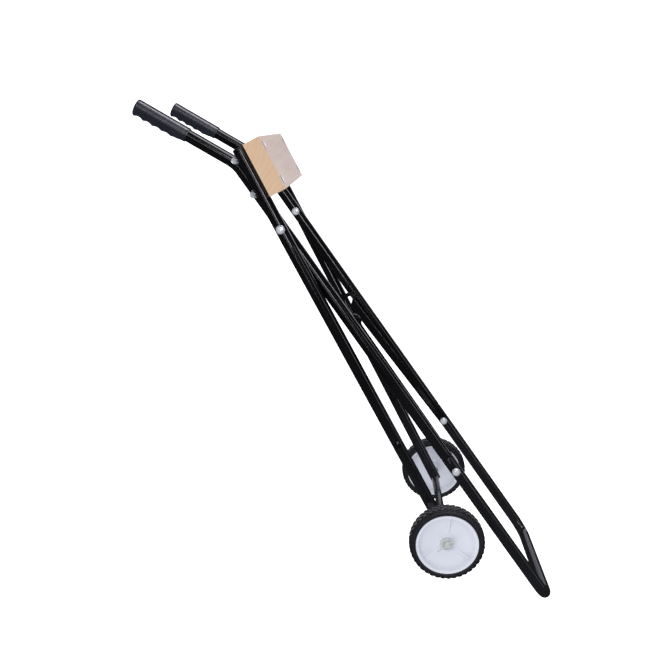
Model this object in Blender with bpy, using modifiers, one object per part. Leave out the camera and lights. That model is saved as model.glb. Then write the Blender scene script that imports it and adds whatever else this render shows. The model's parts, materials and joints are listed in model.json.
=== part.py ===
"""Folding two-wheeled carrier for an outboard boat motor, folded flat.

The bench frame has the leg pivot's axis along Y at the origin and the side tubes along +X, towards the
foot loop.  Legs, braces and wheels are built round their own joint axes and hang on empties there.
At the end the whole cart is tilted and lowered on to its two wheels and its two grip ends.
"""
from math import asin, atan2, cos, hypot, pi, radians, sin, tan, acos

import bmesh
import bpy
from mathutils import Vector

# Stock and clearances, in metres
TUBE_RADIUS = 0.0125
TUBE_WALL = 0.0015
TUBE_SIDES = 16
GAP = 0.0003
BOLT_RADIUS = 0.004
BOLT_SIDES = 10
HOLE_RADIUS = BOLT_RADIUS + 0.0004
NUT_RADIUS = 0.0075
NUT_HEIGHT = 0.0065
NUT_FLANGE_RADIUS = 0.0092
NUT_FLANGE_HEIGHT = 0.0016
WASHER_HEIGHT = 0.0016
WASHER_RADIUS = 0.0085
HEAD_RADIUS = 0.0090

# Main frame, measured along the side tubes from the leg pivot
SIDE_HALF_SPACING = 0.1675
HANDLE_BEND_AT = 0.155
HANDLE_BEND = radians(25.0)
HANDLE_BEND_RADIUS = 0.075
HANDLE_LENGTH = 0.228
FOOT_BOLT_AT = 0.632
MOUTH_AT = FOOT_BOLT_AT - 0.034
FOOT_BAR_AT = FOOT_BOLT_AT + 0.366
FOOT_BEND_RADIUS = 0.040
NECK_RADIUS = TUBE_RADIUS - TUBE_WALL - GAP
NECK_END_AT = FOOT_BOLT_AT + 0.022
SHOULDER = 0.006

# Grips: a sleeve with finger ridges on its lower side
GRIP_LENGTH = 0.117
GRIP_RADIUS = 0.0147
GRIP_END_WALL = 0.004
GRIP_SIDES = 16
RIDGE_COUNT = 5
RIDGE_FIRST_AT = 0.005
RIDGE_PITCH = 0.0205
RIDGE_HEIGHT = 0.0055

# Leg frame, measured along the legs from the pivot
FOLD_ANGLE = radians(7.7)
PIVOT_SPACER = 0.0015
LEG_HALF_SPACING = SIDE_HALF_SPACING + 2 * TUBE_RADIUS + PIVOT_SPACER + 2 * GAP
LEG_TOP_AT = -0.179
CRANK_AT = 0.040
AXLE_AT = 0.751
AXLE_LEG_HALF_SPACING = 0.147
LEG_END_AT = 0.757
PLUG_FLANGE = 0.0022
LATCH_AT = 0.517
LATCH_FLANGE = 0.003

# Transom block and its bolts
BLOCK_HEIGHT = 0.113
BLOCK_THICKNESS = 0.036
BLOCK_HALF_LENGTH = 0.210
BLOCK_BOLTS_AT = (-0.160, -0.085)
BLOCK_HEAD_FLATNESS = 0.5

# Wheels and axle
WHEEL_RADIUS = 0.081
WHEEL_WIDTH = 0.036
WHEEL_HALF_SPACING = 0.203
HUB_RADIUS = 0.0666
HUB_DISH = 0.009
BOSS_RADIUS = 0.017
BUSH_RADIUS = 0.009
AXLE_TUBE_RADIUS = 0.0088
AXLE_RADIUS = 0.006
INNER_WASHER_RADIUS = 0.011
OUTER_WASHER_RADIUS = 0.0145
WHEEL_STEPS = 28
AXLE_TUBE_END = WHEEL_HALF_SPACING - WHEEL_WIDTH / 2 - WASHER_HEIGHT - 2 * GAP
BOSS_FACE_Y = WHEEL_HALF_SPACING + WHEEL_WIDTH / 2 - HUB_DISH
ROD_END = BOSS_FACE_Y + WASHER_HEIGHT + 0.0072

# Split pin through the rod's end; its points are along the pin and beside it
PIN_RADIUS = 0.0013
PIN_BELOW_END = 0.0032
PIN_ANGLE = radians(-77)
PIN_POINTS = (
    (0.0275, 0), (-0.0092, 0), (-0.0112, 0.0014), (-0.0131, 0.0024), (-0.0150, 0.0018),
    (-0.0158, 0), (-0.0150, -0.0018), (-0.0134, -0.0025), (-0.0122, -0.0024))

# Hook braces, swinging on the foot bolts
BRACE_LENGTH = 0.386
BRACE_WIDTH = 0.020
BRACE_THICKNESS = 0.003
BRACE_FACE_Y = 0.1486
BRACE_REST_ANGLES = {"right": radians(-0.6), "left": radians(2.2)}
HOOK_RADIUS = 0.016
NOTCH_WIDTH = 0.0128
MOUTH_ANGLE = radians(102)
LATCH_RADIUS = 0.0055

SIDES = (("right", -1), ("left", 1))


# ---------------------------------------------------------------- scene helpers

def clear_scene():
    for item in list(bpy.data.objects):
        bpy.data.objects.remove(item, do_unlink=True)


def make_collection(name):
    collection = bpy.data.collections.new(name)
    bpy.context.scene.collection.children.link(collection)
    return collection


def make_material(name, colour, roughness, metallic):
    material = bpy.data.materials.new(name)
    material.use_nodes = True
    shader = material.node_tree.nodes["Principled BSDF"]
    shader.inputs["Base Color"].default_value = (*colour, 1.0)
    shader.inputs["Roughness"].default_value = roughness
    shader.inputs["Metallic"].default_value = metallic
    return material


def make_empty(name, parent, location=(0, 0, 0), turn=0.0):
    """Add a joint's empty; turn is about Y, in radians."""
    empty = bpy.data.objects.new(name, None)
    empty.parent = parent
    empty.location = location
    empty.rotation_euler = (0, turn, 0)
    empty.empty_display_size = 0.03
    parts.objects.link(empty)
    return empty


def add_object(name, data, parent, collection=None):
    item = bpy.data.objects.new(name, data)
    item.parent = parent
    (collection or parts).objects.link(item)
    return item


def finish(item, material, flat_angle=35):
    item.data.materials.clear()
    item.data.materials.append(material)
    if item.data.polygons:
        item.data.shade_smooth()
        item.data.set_sharp_from_angle(angle=radians(flat_angle))
    return item


def as_mesh(item, parent):
    """Replace a curve or a modified object by its evaluated mesh."""
    bpy.context.view_layer.update()
    evaluated = item.evaluated_get(bpy.context.evaluated_depsgraph_get())
    mesh = bpy.data.meshes.new_from_object(evaluated)
    mesh.transform(parent.matrix_world.inverted() @ item.matrix_world)
    work = bmesh.new()
    work.from_mesh(mesh)
    bmesh.ops.remove_doubles(work, verts=work.verts, dist=0.00001)
    work.to_mesh(mesh)
    work.free()
    name = item.name
    bpy.data.objects.remove(item, do_unlink=True)
    return add_object(name, mesh, parent)


# ---------------------------------------------------------------- shape helpers

def outward(side):
    """Rotation that turns local +Z to face away from the cart's middle."""
    return (-side * pi / 2, 0, 0)


def rounded_path(corners, radii, steps=6):
    """Return the corner points with each inner corner replaced by an arc of its radius."""
    points = [corners[0]]
    for before, corner, after, radius in zip(corners, corners[1:], corners[2:], radii):
        into = (corner - before).normalized()
        out = (after - corner).normalized()
        turn = into.angle(out)
        reach = radius * tan(turn / 2)
        start = corner - into * reach
        inward = (out - into * into.dot(out)).normalized()
        for step in range(steps + 1):
            angle = turn * step / steps
            points.append(start + into * radius * sin(angle) + inward * radius * (1 - cos(angle)))
    points.append(corners[-1])
    return points


def make_tube(name, points, parent, material, radius=TUBE_RADIUS, wall=TUBE_WALL, scales=None):
    """Add an open-ended tube along the points; scales gives each point's share of the radius."""
    curve = bpy.data.curves.new(name, "CURVE")
    curve.dimensions = "3D"
    curve.bevel_depth = radius
    curve.bevel_resolution = TUBE_SIDES // 2 - 2
    spline = curve.splines.new("POLY")
    spline.points.add(len(points) - 1)
    for index, point in enumerate(points):
        spline.points[index].co = (*point, 1)
        spline.points[index].radius = scales[index] if scales else 1.0
    tube = as_mesh(add_object(name, curve, parent), parent)
    shell = tube.modifiers.new("wall", "SOLIDIFY")
    shell.thickness = wall
    shell.offset = -1
    return finish(tube, material)


def make_turned(name, profile, parent, location, rotation, steps=BOLT_SIDES, ring=False):
    """Turn a profile of (radius, height) points round local Z; a ring's profile is a closed loop."""
    mesh = bpy.data.meshes.new(name)
    edges = [(index, index + 1) for index in range(len(profile) - 1)]
    if ring:
        edges.append((len(profile) - 1, 0))
    mesh.from_pydata([(radius, 0, height) for radius, height in profile], edges, [])
    item = add_object(name, mesh, parent)
    item.location = location
    item.rotation_euler = rotation
    screw = item.modifiers.new("turn", "SCREW")
    screw.steps = steps
    screw.render_steps = steps
    screw.use_merge_vertices = True
    screw.merge_threshold = 0.00001
    return item


def make_ring(name, inner, outer, low, high, parent, location, rotation, steps=BOLT_SIDES):
    profile = [(outer, high), (outer, low), (inner, low), (inner, high)]
    return make_turned(name, profile, parent, location, rotation, steps, ring=True)


def make_cutter(name, radius, length, parent, location, rotation, sides=BOLT_SIDES):
    """Add a hidden cylinder centred on location along its local Z."""
    mesh = bpy.data.meshes.new(name)
    work = bmesh.new()
    bmesh.ops.create_cone(
        work, cap_ends=True, segments=sides, radius1=radius, radius2=radius, depth=length)
    work.to_mesh(mesh)
    work.free()
    cutter = add_object(name, mesh, parent, cutters)
    cutter.location = location
    cutter.rotation_euler = rotation
    cutter.hide_render = True
    cutter.display_type = "WIRE"
    return cutter


def make_slot_cutter(name, parent, location, angle):
    """Add a hidden block that runs from location in the brace's plane, at an angle from +X to +Z."""
    mesh = bpy.data.meshes.new(name)
    work = bmesh.new()
    bmesh.ops.create_cube(work, size=1)
    bmesh.ops.scale(work, vec=(2 * HOOK_RADIUS, 0.02, NOTCH_WIDTH), verts=work.verts)
    bmesh.ops.translate(work, vec=(HOOK_RADIUS, 0, 0), verts=work.verts)
    work.to_mesh(mesh)
    work.free()
    cutter = add_object(name, mesh, parent, cutters)
    cutter.location = location
    cutter.rotation_euler = (0, -angle, 0)
    cutter.hide_render = True
    cutter.display_type = "WIRE"
    return cutter


def cut(item, cutter):
    boolean = item.modifiers.new(cutter.name, "BOOLEAN")
    boolean.operation = "DIFFERENCE"
    boolean.object = cutter


def make_bolt(name, grip, tail, head_radius, parent, location, rotation, shank=BOLT_RADIUS, flatness=1.0):
    """Dome-headed bolt: head above local z = 0, shank down through grip and on by tail."""
    dome = 0.27 * head_radius * flatness
    rim = 0.22 * head_radius * flatness
    end = -(grip + tail)
    profile = [
        (0, rim + dome), (0.45 * head_radius, rim + 0.88 * dome), (0.8 * head_radius, rim + 0.5 * dome),
        (head_radius, rim * 0.6), (head_radius, 0), (shank, 0), (shank, end), (0, end)]
    return make_turned(name, profile, parent, location, rotation)


def make_nut(name, parent, location, rotation):
    """Flanged nut: flange at local z = 0, hexagon above it."""
    bore = BOLT_RADIUS + GAP
    top = NUT_HEIGHT
    profile = [
        (NUT_RADIUS, top), (NUT_RADIUS, NUT_FLANGE_HEIGHT), (NUT_FLANGE_RADIUS, NUT_FLANGE_HEIGHT),
        (NUT_FLANGE_RADIUS, 0), (bore, 0), (bore, top)]
    return make_turned(name, profile, parent, location, rotation, steps=BOLT_SIDES, ring=True)


# ---------------------------------------------------------------- main frame

def handle_point(along, below, y):
    """A point of the handle: along it from the bend's apex, and below its axis."""
    x = -HANDLE_BEND_AT - along * cos(HANDLE_BEND) + below * sin(HANDLE_BEND)
    z = -along * sin(HANDLE_BEND) - below * cos(HANDLE_BEND)
    return Vector((x, y, z))


def add_side_tube(label, side):
    y = side * SIDE_HALF_SPACING
    handle_end = handle_point(HANDLE_LENGTH - GRIP_END_WALL - GAP, 0, y)
    apex = handle_point(0, 0, y)
    straight = [Vector((at, y, 0)) for at in (MOUTH_AT - SHOULDER, MOUTH_AT - GAP, NECK_END_AT)]
    points = rounded_path([handle_end, apex, straight[0]], [HANDLE_BEND_RADIUS])
    neck = NECK_RADIUS / TUBE_RADIUS
    scales = [1.0] * len(points) + [neck, neck]
    tube = make_tube("side_tube_" + label, points + straight[1:], root, black_paint, scales=scales)
    for name, at in (("pivot", 0.0), ("foot", FOOT_BOLT_AT)):
        hole = make_cutter(
            "cut_side_" + name + "_" + label, HOLE_RADIUS, 0.06, root, (at, y, 0), outward(side))
        cut(tube, hole)


def add_foot_loop():
    ends = [(MOUTH_AT, -1), (FOOT_BAR_AT, -1), (FOOT_BAR_AT, 1), (MOUTH_AT, 1)]
    corners = [Vector((at, side * SIDE_HALF_SPACING, 0)) for at, side in ends]
    points = rounded_path(corners, [FOOT_BEND_RADIUS] * 2, steps=8)
    loop = make_tube("foot_loop", points, root, black_paint)
    for label, side in SIDES:
        place = (FOOT_BOLT_AT, side * SIDE_HALF_SPACING, 0)
        cut(loop, make_cutter("cut_loop_" + label, HOLE_RADIUS, 0.06, root, place, outward(side)))


def ridge_height(along):
    """Height of the finger ridges at a distance from the grip's outer end."""
    nearest = round((along - RIDGE_FIRST_AT) / RIDGE_PITCH)
    nearest = min(max(nearest, 0), RIDGE_COUNT - 1)
    away = abs(along - RIDGE_FIRST_AT - nearest * RIDGE_PITCH) / (RIDGE_PITCH / 2)
    return RIDGE_HEIGHT * max(0.0, 1.0 - away) ** 1.3


def add_grip(label, side):
    """A sleeve closed at its outer end, turned first and then drawn down into ridges."""
    y = side * SIDE_HALF_SPACING
    bore = TUBE_RADIUS + GAP
    cuts = [RIDGE_FIRST_AT + RIDGE_PITCH * step / 2 for step in range(RIDGE_COUNT * 2)]
    outer = [(GRIP_RADIUS, -along) for along in cuts]
    profile = [(0, 0), (GRIP_RADIUS - 0.002, 0), (GRIP_RADIUS, -0.002)] + outer
    profile += [(GRIP_RADIUS, -GRIP_LENGTH), (bore, -GRIP_LENGTH)]
    profile += [(bore, -GRIP_END_WALL), (0, -GRIP_END_WALL)]
    place = handle_point(HANDLE_LENGTH, 0, y)
    facing = (0, -(pi / 2 + HANDLE_BEND), 0)
    turned = make_turned("grip_" + label, profile, root, (0, 0, 0), (0, 0, 0), steps=GRIP_SIDES)
    grip = as_mesh(turned, root)
    for vertex in grip.data.vertices:
        radius = hypot(vertex.co.x, vertex.co.y)
        if radius > GRIP_RADIUS - 0.0001:
            share = max(0.0, -vertex.co.x / radius) ** 2
            vertex.co.x -= ridge_height(-vertex.co.z) * share
    grip.location = place
    grip.rotation_euler = facing
    finish(grip, grip_rubber, flat_angle=50)


def add_through_bolt(name, at, inner_y, outer_y, label, side):
    """Bolt and nut across a stack of parts; every head faces the cart's right-hand side."""
    head_y, nut_y = (outer_y, inner_y) if side < 0 else (inner_y, outer_y)
    length = outer_y - inner_y
    finish(make_bolt(
        name + "_bolt_" + label, length, NUT_HEIGHT + 0.002, HEAD_RADIUS, root,
        (at, side * head_y, 0), outward(-1)), zinc)
    finish(make_nut(name + "_nut_" + label, root, (at, side * nut_y, 0), outward(1)), zinc)


def add_pivot_hardware(label, side):
    inner_y = SIDE_HALF_SPACING - TUBE_RADIUS - GAP
    outer_y = LEG_HALF_SPACING + TUBE_RADIUS + GAP
    spacer_low = SIDE_HALF_SPACING + TUBE_RADIUS + GAP
    add_through_bolt("pivot", 0, inner_y, outer_y, label, side)
    finish(make_ring(
        "pivot_spacer_" + label, BOLT_RADIUS + GAP, 0.0105, spacer_low, spacer_low + PIVOT_SPACER, root,
        (0, 0, 0), outward(side)), black_plastic)


def add_foot_hardware(label, side):
    """Bolt through the loop's mouth and the neck, with the brace between a spacer and a washer."""
    outer_y = SIDE_HALF_SPACING + TUBE_RADIUS + GAP
    spacer_high = SIDE_HALF_SPACING - TUBE_RADIUS - GAP
    washer_high = BRACE_FACE_Y - BRACE_THICKNESS - GAP
    washer_low = washer_high - WASHER_HEIGHT
    place = (FOOT_BOLT_AT, 0, 0)
    turn = outward(side)
    bore = BOLT_RADIUS + GAP
    add_through_bolt("foot", FOOT_BOLT_AT, washer_low - GAP, outer_y, label, side)
    finish(make_ring(
        "foot_washer_" + label, bore, WASHER_RADIUS, washer_low, washer_high, root, place, turn), zinc)
    finish(make_ring(
        "brace_spacer_" + label, bore, 0.0075, BRACE_FACE_Y + GAP, spacer_high, root, place, turn),
        black_plastic)


# ---------------------------------------------------------------- leg frame

def leg_y(at):
    """Half the legs' spacing at a distance below the pivot."""
    if at <= CRANK_AT:
        return LEG_HALF_SPACING
    share = (at - CRANK_AT) / (AXLE_AT - CRANK_AT)
    return LEG_HALF_SPACING + (AXLE_LEG_HALF_SPACING - LEG_HALF_SPACING) * share


def leg_point(at, side):
    return Vector((at, side * leg_y(at), 0))


def add_leg_tube(label, side):
    top = LEG_TOP_AT + PLUG_FLANGE + GAP
    corners = [leg_point(top, side), leg_point(CRANK_AT, side), leg_point(LEG_END_AT, side)]
    points = rounded_path(corners, [0.15], steps=2)
    tube = make_tube("leg_tube_" + label, points, legs, black_paint)
    for name, at, radius in (
            ("pivot", 0.0, HOLE_RADIUS),
            ("latch", LATCH_AT, LATCH_RADIUS + 0.0005),
            ("axle", AXLE_AT, AXLE_TUBE_RADIUS + 0.0009)):
        cut(tube, make_cutter(
            "cut_leg_" + name + "_" + label, radius, 0.06, legs, leg_point(at, side), outward(side)))
    for index, at in enumerate(BLOCK_BOLTS_AT):
        name = "cut_leg_block_" + str(index) + "_" + label
        cut(tube, make_cutter(name, HOLE_RADIUS, 0.06, legs, leg_point(at, side), (0, 0, 0)))


def add_top_plug(label, side):
    """Plastic plug closing a leg's top end."""
    stem = TUBE_RADIUS - TUBE_WALL - GAP
    profile = [
        (0, PLUG_FLANGE), (TUBE_RADIUS - 0.001, PLUG_FLANGE), (TUBE_RADIUS, 0.001),
        (TUBE_RADIUS, 0), (stem, 0), (stem, -0.008), (0, -0.008)]
    top = leg_point(LEG_TOP_AT, side) + Vector((PLUG_FLANGE, 0, 0))
    finish(make_turned(
        "top_plug_" + label, profile, legs, top, (0, -pi / 2, 0), steps=TUBE_SIDES), black_plastic)


def add_transom_block():
    """Solid wood block standing on the front of both legs."""
    mesh = bpy.data.meshes.new("transom_block")
    work = bmesh.new()
    bmesh.ops.create_cube(work, size=1)
    size = (BLOCK_HEIGHT, 2 * BLOCK_HALF_LENGTH, BLOCK_THICKNESS)
    bmesh.ops.scale(work, vec=size, verts=work.verts)
    work.to_mesh(mesh)
    work.free()
    block = add_object("transom_block", mesh, legs)
    block.location = (LEG_TOP_AT + BLOCK_HEIGHT / 2, 0, TUBE_RADIUS + GAP + BLOCK_THICKNESS / 2)
    edges = block.modifiers.new("edges", "BEVEL")
    edges.width = 0.0012
    edges.segments = 1
    for label, side in SIDES:
        for index, at in enumerate(BLOCK_BOLTS_AT):
            name = "cut_block_" + str(index) + "_" + label
            cut(block, make_cutter(name, HOLE_RADIUS, 0.2, legs, leg_point(at, side), (0, 0, 0)))
    finish(block, wood)


def add_block_hardware(label, side):
    front = TUBE_RADIUS + GAP + BLOCK_THICKNESS + GAP
    washer_top = -TUBE_RADIUS - GAP
    nut_top = washer_top - WASHER_HEIGHT - GAP
    for row, at in zip(("upper", "lower"), BLOCK_BOLTS_AT):
        tag = row + "_" + label
        place = leg_point(at, side)
        finish(make_bolt(
            "block_bolt_" + tag, front - nut_top, NUT_HEIGHT + 0.003, HEAD_RADIUS, legs,
            place + Vector((0, 0, front)), (0, 0, 0), flatness=BLOCK_HEAD_FLATNESS), zinc)
        finish(make_ring(
            "block_washer_" + tag, BOLT_RADIUS + GAP, WASHER_RADIUS, washer_top - WASHER_HEIGHT,
            washer_top, legs, place, (0, 0, 0)), zinc)
        finish(make_nut(
            "block_nut_" + tag, legs, place + Vector((0, 0, nut_top)), (pi, 0, 0)), zinc)


def add_latch_stud(label, side):
    """Stud that the brace hooks on to, with a retaining clip at its inner end."""
    clip_high = BRACE_FACE_Y - BRACE_THICKNESS - GAP
    head_y = leg_y(LATCH_AT) + TUBE_RADIUS + 0.0009
    finish(make_bolt(
        "latch_stud_" + label, head_y - clip_high, LATCH_FLANGE + 0.001, 0.0075, legs,
        (LATCH_AT, side * head_y, 0), outward(side), shank=LATCH_RADIUS), zinc)
    finish(make_ring(
        "latch_clip_" + label, LATCH_RADIUS + GAP, WASHER_RADIUS + 0.001, clip_high - LATCH_FLANGE, clip_high,
        legs, (LATCH_AT, 0, 0), outward(side)), zinc)


def add_axle():
    """Spacer tube through both legs, and the rod inside it that carries the wheels."""
    ends = [Vector((AXLE_AT, side * AXLE_TUBE_END, 0)) for side in (-1, 1)]
    make_tube(
        "axle_tube", ends, legs, black_paint, radius=AXLE_TUBE_RADIUS,
        wall=AXLE_TUBE_RADIUS - AXLE_RADIUS - 0.0004)
    profile = [(0, ROD_END), (AXLE_RADIUS, ROD_END), (AXLE_RADIUS, -ROD_END), (0, -ROD_END)]
    rod = make_turned(
        "axle_rod", profile, legs, (AXLE_AT, 0, 0), outward(1), steps=TUBE_SIDES)
    for label, side in SIDES:
        place = (AXLE_AT, side * (ROD_END - PIN_BELOW_END), 0)
        facing = (0, pi / 2 - PIN_ANGLE, 0)
        cut(rod, make_cutter("cut_rod_" + label, PIN_RADIUS + 2 * GAP, 0.02, legs, place, facing))
    finish(rod, zinc)


def add_wheel_fixings(label, side):
    """Washers each side of the wheel."""
    bore = AXLE_RADIUS + GAP
    for name, low, radius in (
            ("inner", AXLE_TUBE_END + GAP, INNER_WASHER_RADIUS),
            ("outer", BOSS_FACE_Y + GAP, OUTER_WASHER_RADIUS)):
        finish(make_ring(
            name + "_washer_" + label, bore, radius, low, low + WASHER_HEIGHT, legs, (AXLE_AT, 0, 0),
            outward(side), steps=TUBE_SIDES), zinc)


def add_axle_pin(label, side):
    """Wire pin through the rod, straight to its tip and bent to an open eye at its head."""
    name = "axle_pin_" + label
    curve = bpy.data.curves.new(name, "CURVE")
    curve.dimensions = "3D"
    curve.bevel_depth = PIN_RADIUS
    curve.bevel_resolution = 2
    curve.use_fill_caps = True
    spline = curve.splines.new("POLY")
    spline.points.add(len(PIN_POINTS) - 1)
    for index, (along, aside) in enumerate(PIN_POINTS):
        spline.points[index].co = (along, 0, aside, 1)
    pin = add_object(name, curve, legs)
    pin.location = (AXLE_AT, side * (ROD_END - PIN_BELOW_END), 0)
    pin.rotation_euler = (0, -PIN_ANGLE, 0)
    finish(as_mesh(pin, legs), zinc)


# ---------------------------------------------------------------- wheels and braces

def add_wheel(label, side):
    spin = make_empty("wheel_axis_" + label, legs, (AXLE_AT, side * WHEEL_HALF_SPACING, 0))
    turn = outward(side)
    half = WHEEL_WIDTH / 2
    seat = HUB_RADIUS + GAP
    shoulder = WHEEL_RADIUS - 0.004
    tread = half - 0.007
    tyre_profile = [
        (WHEEL_RADIUS, tread), (WHEEL_RADIUS, -tread), (shoulder, -half + 0.002), (seat + 0.004, -half),
        (seat, -half + 0.002), (seat, half - 0.002), (seat + 0.004, half), (shoulder, half - 0.002)]
    tyre = make_turned(
        "tyre_" + label, tyre_profile, spin, (0, 0, 0), turn, steps=WHEEL_STEPS, ring=True)
    finish(tyre, tyre_rubber)

    boss_face = half - HUB_DISH
    rim = HUB_RADIUS - 0.004
    bore = BUSH_RADIUS + GAP
    hub_profile = [
        (HUB_RADIUS, half - 0.001), (HUB_RADIUS, -half + 0.001), (rim, -half + 0.001), (rim - 0.003, 0),
        (BOSS_RADIUS, 0), (BOSS_RADIUS, -half), (bore, -half), (bore, boss_face),
        (BOSS_RADIUS, boss_face), (BOSS_RADIUS + 0.004, 0.0045), (rim - 0.012, 0.0045), (rim, half - 0.001)]
    hub = make_turned("hub_" + label, hub_profile, spin, (0, 0, 0), turn, steps=WHEEL_STEPS, ring=True)
    finish(hub, white_plastic)

    bush = make_ring(
        "bush_" + label, AXLE_RADIUS + GAP, BUSH_RADIUS, -half, boss_face, spin, (0, 0, 0), turn,
        steps=TUBE_SIDES)
    finish(bush, black_plastic)


def brace_outline(steps=8):
    """Bar with a round end at the bolt and a larger round eye at the hook."""
    half = BRACE_WIDTH / 2
    flare = asin(half / HOOK_RADIUS)
    points = []
    for step in range(2 * steps + 1):
        angle = (flare - pi) + 2 * (pi - flare) * step / (2 * steps)
        points.append((BRACE_LENGTH + HOOK_RADIUS * cos(angle), HOOK_RADIUS * sin(angle), 0))
    for step in range(steps + 1):
        angle = pi / 2 + pi * step / steps
        points.append((half * cos(angle), half * sin(angle), 0))
    return points


def approach_angle():
    """Direction, in the brace's own plane, in which the latch stud leaves the notch."""
    leg_open = acos(
        (FOOT_BOLT_AT ** 2 + LATCH_AT ** 2 - BRACE_LENGTH ** 2) / (2 * FOOT_BOLT_AT * LATCH_AT))
    brace_open = acos(
        (FOOT_BOLT_AT ** 2 + BRACE_LENGTH ** 2 - LATCH_AT ** 2) / (2 * FOOT_BOLT_AT * BRACE_LENGTH))
    ratio = brace_open / (leg_open - FOLD_ANGLE)
    step = radians(2)
    leg_angle = leg_open - step
    brace_angle = brace_open - ratio * step
    stud = Vector((FOOT_BOLT_AT - LATCH_AT * cos(leg_angle), LATCH_AT * sin(leg_angle)))
    along = stud.dot(Vector((cos(brace_angle), sin(brace_angle)))) - BRACE_LENGTH
    aside = stud.dot(Vector((-sin(brace_angle), cos(brace_angle))))
    return atan2(aside, along)


def add_brace(label, side):
    """Flat hook brace; its empty's +X points from the bolt to the hook, its +Z towards the legs."""
    turn = pi - BRACE_REST_ANGLES[label]
    swing = make_empty("brace_axis_" + label, root, (FOOT_BOLT_AT, 0, 0), turn)
    curve = bpy.data.curves.new("brace_" + label, "CURVE")
    curve.dimensions = "2D"
    curve.fill_mode = "BOTH"
    curve.extrude = BRACE_THICKNESS / 2
    outline = brace_outline()
    spline = curve.splines.new("POLY")
    spline.points.add(len(outline) - 1)
    for index, point in enumerate(outline):
        spline.points[index].co = (*point, 1)
    spline.use_cyclic_u = True
    flat = add_object("brace_" + label, curve, swing)
    flat.rotation_euler = (pi / 2, 0, 0)
    flat.location = (0, side * (BRACE_FACE_Y - BRACE_THICKNESS / 2), 0)
    brace = as_mesh(flat, swing)
    y = side * (BRACE_FACE_Y - BRACE_THICKNESS / 2)
    cut(brace, make_cutter("cut_brace_" + label, HOLE_RADIUS, 0.02, swing, (0, y, 0), outward(side)))
    cut(brace, make_cutter(
        "cut_notch_" + label, NOTCH_WIDTH / 2, 0.02, swing, (BRACE_LENGTH, y, 0), outward(side), sides=16))
    for name, angle in (("mouth", MOUTH_ANGLE), ("flare", approach_angle())):
        cut(brace, make_slot_cutter("cut_" + name + "_" + label, swing, (BRACE_LENGTH, y, 0), angle))
    finish(brace, black_paint)


# ---------------------------------------------------------------- resting pose

def resting_tilt():
    """Tilt that brings the wheels and the grips' first ridges to one level."""
    axle = Vector((AXLE_AT * cos(FOLD_ANGLE), -AXLE_AT * sin(FOLD_ANGLE)))
    grip_end = handle_point(HANDLE_LENGTH, 0, 0)
    span = axle - Vector((grip_end.x, grip_end.z))
    tilt = 0.0
    for _ in range(6):
        slope = tilt + HANDLE_BEND
        drop = (GRIP_RADIUS + RIDGE_HEIGHT) * cos(slope) - RIDGE_FIRST_AT * sin(slope)
        tilt = asin((WHEEL_RADIUS - drop) / span.length) - atan2(span.y, span.x)
    return tilt


def rest_on_floor():
    """Tilt the cart and put the origin at the bottom centre of its box."""
    root.rotation_euler = (0, -resting_tilt(), 0)
    bpy.context.view_layer.update()
    depsgraph = bpy.context.evaluated_depsgraph_get()
    low = Vector((1e9, 1e9, 1e9))
    high = -low
    for item in parts.objects:
        if item.type != "MESH":
            continue
        shown = item.evaluated_get(depsgraph)
        for vertex in shown.data.vertices:
            place = shown.matrix_world @ vertex.co
            low = Vector(map(min, low, place))
            high = Vector(map(max, high, place))
    root.location = (-(low.x + high.x) / 2, 0, -low.z)
    bpy.context.view_layer.update()


clear_scene()
parts = make_collection("outboard_motor_cart")
cutters = make_collection("cutters")

black_paint = make_material("black_paint", (0.012, 0.012, 0.014), 0.22, 0.0)
grip_rubber = make_material("grip_rubber", (0.035, 0.036, 0.045), 0.6, 0.0)
wood = make_material("wood", (0.72, 0.52, 0.34), 0.65, 0.0)
zinc = make_material("zinc", (0.75, 0.76, 0.78), 0.25, 1.0)
black_plastic = make_material("black_plastic", (0.02, 0.02, 0.02), 0.45, 0.0)
white_plastic = make_material("white_plastic", (0.78, 0.79, 0.85), 0.35, 0.0)
tyre_rubber = make_material("tyre_rubber", (0.03, 0.03, 0.035), 0.7, 0.0)

root = make_empty("cart", None)
legs = make_empty("leg_pivot", root, turn=FOLD_ANGLE)
bpy.context.view_layer.update()

add_foot_loop()
for label, side in SIDES:
    add_side_tube(label, side)
    add_grip(label, side)
    add_leg_tube(label, side)
    add_wheel(label, side)
    add_brace(label, side)
    add_pivot_hardware(label, side)
    add_foot_hardware(label, side)
    add_top_plug(label, side)
    add_block_hardware(label, side)
    add_latch_stud(label, side)
    add_wheel_fixings(label, side)
    add_axle_pin(label, side)
add_transom_block()
add_axle()
rest_on_floor()
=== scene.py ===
import json
from math import acos, asin, atan2, cos, hypot, pi, radians, sin, tan

import bmesh
import bpy
from mathutils import Euler, Matrix, Vector


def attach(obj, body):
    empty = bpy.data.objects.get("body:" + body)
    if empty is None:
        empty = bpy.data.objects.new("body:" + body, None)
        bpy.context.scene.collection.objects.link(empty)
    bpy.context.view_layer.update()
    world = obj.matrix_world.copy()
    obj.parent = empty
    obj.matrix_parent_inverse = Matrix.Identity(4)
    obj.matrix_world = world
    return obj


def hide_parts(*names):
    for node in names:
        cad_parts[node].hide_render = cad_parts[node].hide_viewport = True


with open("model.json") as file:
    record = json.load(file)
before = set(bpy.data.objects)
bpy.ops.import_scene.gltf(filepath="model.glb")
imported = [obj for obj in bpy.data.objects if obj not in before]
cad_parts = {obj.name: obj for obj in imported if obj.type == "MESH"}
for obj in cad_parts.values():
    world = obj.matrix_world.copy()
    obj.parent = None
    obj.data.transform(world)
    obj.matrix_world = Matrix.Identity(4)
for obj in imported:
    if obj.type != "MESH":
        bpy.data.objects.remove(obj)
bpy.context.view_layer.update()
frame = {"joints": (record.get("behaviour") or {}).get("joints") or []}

SCENE = bpy.context.scene

# ---------------------------------------------------------------- sizes, in metres, as in part.py

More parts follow.
